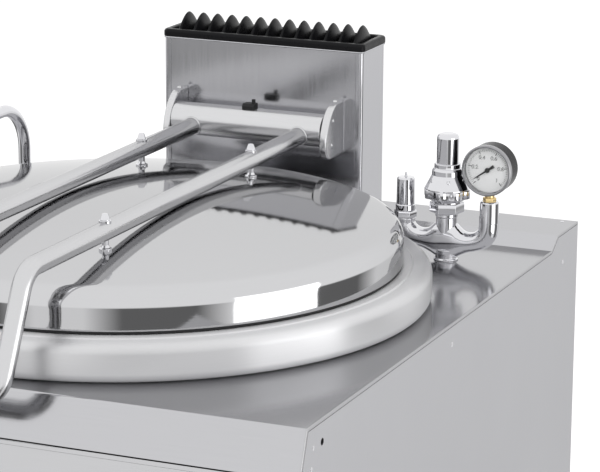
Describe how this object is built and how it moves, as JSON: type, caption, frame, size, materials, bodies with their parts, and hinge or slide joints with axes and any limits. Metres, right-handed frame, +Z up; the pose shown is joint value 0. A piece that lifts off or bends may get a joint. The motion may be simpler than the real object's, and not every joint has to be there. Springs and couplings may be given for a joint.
{
  "type": "steam jacketed kettle",
  "caption": "Gas-fired indirect boiling pan on a square steel cabinet, with a counterbalanced lid, safety group, swivelling spout and draw-off tap.",
  "frame": {"origin": "on the floor, under the middle of the overall box", "axes": "+Z up, +X to the right seen from the front, +Y to the back; the handle and tap are at the front"},
  "size_m": [0.8, 1.012, 1.1636],
  "materials": {
    "worktop_steel": "fine satin, brushed along the front",
    "panel_steel": "satin, brushed upright",
    "polished_steel": "mirror polished",
    "pan_steel": "ground satin, turned",
    "jacket_steel": "mill finish",
    "frame_steel": "grey paint",
    "tube_steel": "satin tube",
    "hinge_steel": "polished",
    "spring_steel": "oiled",
    "enamelled_iron": "black vitreous enamel",
    "burner_steel": "heat tinted",
    "group_chrome": "bright chrome plate on brass",
    "plain_brass": "turned, bare",
    "gauge_chrome": "bright pressed ring and case",
    "dial_white": "matt white with black marks",
    "clear_glass": "clear",
    "needle_black": "matt black",
    "black_rubber": "moulded",
    "foot_steel": "turned",
    "knob_plastic": "fine spark texture",
    "button_plastic": "gloss",
    "valve_brass": "cast and machined",
    "tap_steel": "cast, blasted and part polished",
    "wool": "mineral wool"
  },
  "bodies": {
    "cabinet": {"foot_front_left": "foot_steel", "foot_front_right": "foot_steel", "foot_rear_left": "foot_steel", "foot_rear_right": "foot_steel", "base_frame": "frame_steel", "side_panel_left": "panel_steel", "side_panel_right": "panel_steel", "back_panel": "panel_steel", "front_panel": "panel_steel", "worktop": "worktop_steel", "pan_collar": "polished_steel", "pan": "pan_steel", "jacket": "jacket_steel", "insulation": "wool", "burner_carrier": "frame_steel", "burner": "burner_steel", "drain_pipe": "jacket_steel", "tap_body": "tap_steel", "gas_inlet": "plain_brass", "cold_water_inlet": "plain_brass", "hot_water_inlet": "plain_brass", "control_panel": "panel_steel", "gas_valve": "valve_brass", "cold_water_valve": "valve_brass", "hot_water_valve": "valve_brass", "igniter_body": "knob_plastic", "flue": "polished_steel", "flue_duct": "jacket_steel", "grate": "enamelled_iron", "hinge_plate_left": "hinge_steel", "hinge_plate_right": "hinge_steel", "hinge_shaft": "spring_steel", "counterbalance_spring": "spring_steel", "safety_manifold": "group_chrome", "vacuum_valve": "group_chrome", "safety_valve": "group_chrome", "safety_cap": "group_chrome", "gauge_case": "gauge_chrome", "gauge_fitting": "plain_brass", "gauge_dial": "dial_white", "gauge_glass": "clear_glass", "spout_base": "group_chrome"},
    "lid": {"lid_shell": "polished_steel", "lid_seal": "black_rubber", "lid_frame": "tube_steel", "hinge_tube": "hinge_steel", "lid_studs": "hinge_steel", "lid_nuts": "hinge_steel", "lid_stop": "black_rubber"},
    "spout": {"spout": "group_chrome"},
    "tap": {"tap_plug": "tap_steel", "tap_lever": "tap_steel"},
    "gas_knob": {"gas_knob": "knob_plastic"},
    "cold_water_knob": {"cold_water_knob": "knob_plastic"},
    "hot_water_knob": {"hot_water_knob": "knob_plastic"},
    "igniter_button": {"igniter_button": "button_plastic"},
    "vacuum_pin": {"vacuum_pin": "group_chrome"},
    "gauge_needle": {"gauge_needle": "needle_black"}
  },
  "joints": [
    {"name": "lid_hinge", "type": "hinge", "parent": "cabinet", "child": "lid", "pos_m": [0, 0.3385, 1.037], "axis": [-1, 0, 0], "range_deg": [0, 90]},
    {"name": "spout_swivel", "type": "hinge", "parent": "cabinet", "child": "spout", "pos_m": [-0.305, 0.287, 0.93], "axis": [0, 0, 1], "range_deg": [-30, 90]},
    {"name": "tap_turn", "type": "hinge", "parent": "cabinet", "child": "tap", "pos_m": [0, -0.466, 0.555], "axis": [0, 0, 1], "range_deg": [0, 90]},
    {"name": "gas_knob_turn", "type": "hinge", "parent": "cabinet", "child": "gas_knob", "pos_m": [0.21, -0.46036, 0.776], "axis": [0, -0.9367, 0.3502], "range_deg": [0, 180]},
    {"name": "cold_water_knob_turn", "type": "hinge", "parent": "cabinet", "child": "cold_water_knob", "pos_m": [-0.26, -0.46036, 0.776], "axis": [0, -0.9367, 0.3502], "range_deg": [0, 270]},
    {"name": "hot_water_knob_turn", "type": "hinge", "parent": "cabinet", "child": "hot_water_knob", "pos_m": [-0.17, -0.46036, 0.776], "axis": [0, -0.9367, 0.3502], "range_deg": [0, 270]},
    {"name": "igniter_push", "type": "slide", "parent": "cabinet", "child": "igniter_button", "axis": [0, 0.9367, -0.3502], "range_m": [0, 0.004], "stiffness_N_per_m": 600, "springref_m": -0.001},
    {"name": "vacuum_pin_push", "type": "slide", "parent": "cabinet", "child": "vacuum_pin", "axis": [0, 0, -1], "range_m": [0, 0.003], "stiffness_N_per_m": 200, "springref_m": -0.001},
    {"name": "needle_sweep", "type": "hinge", "parent": "cabinet", "child": "gauge_needle", "pos_m": [0.347, 0.277, 1.0215], "axis": [0, 1, 0], "range_deg": [0, 270], "stiffness_Nm_per_rad": 0.002, "springref_deg": -5.73}
  ]
}
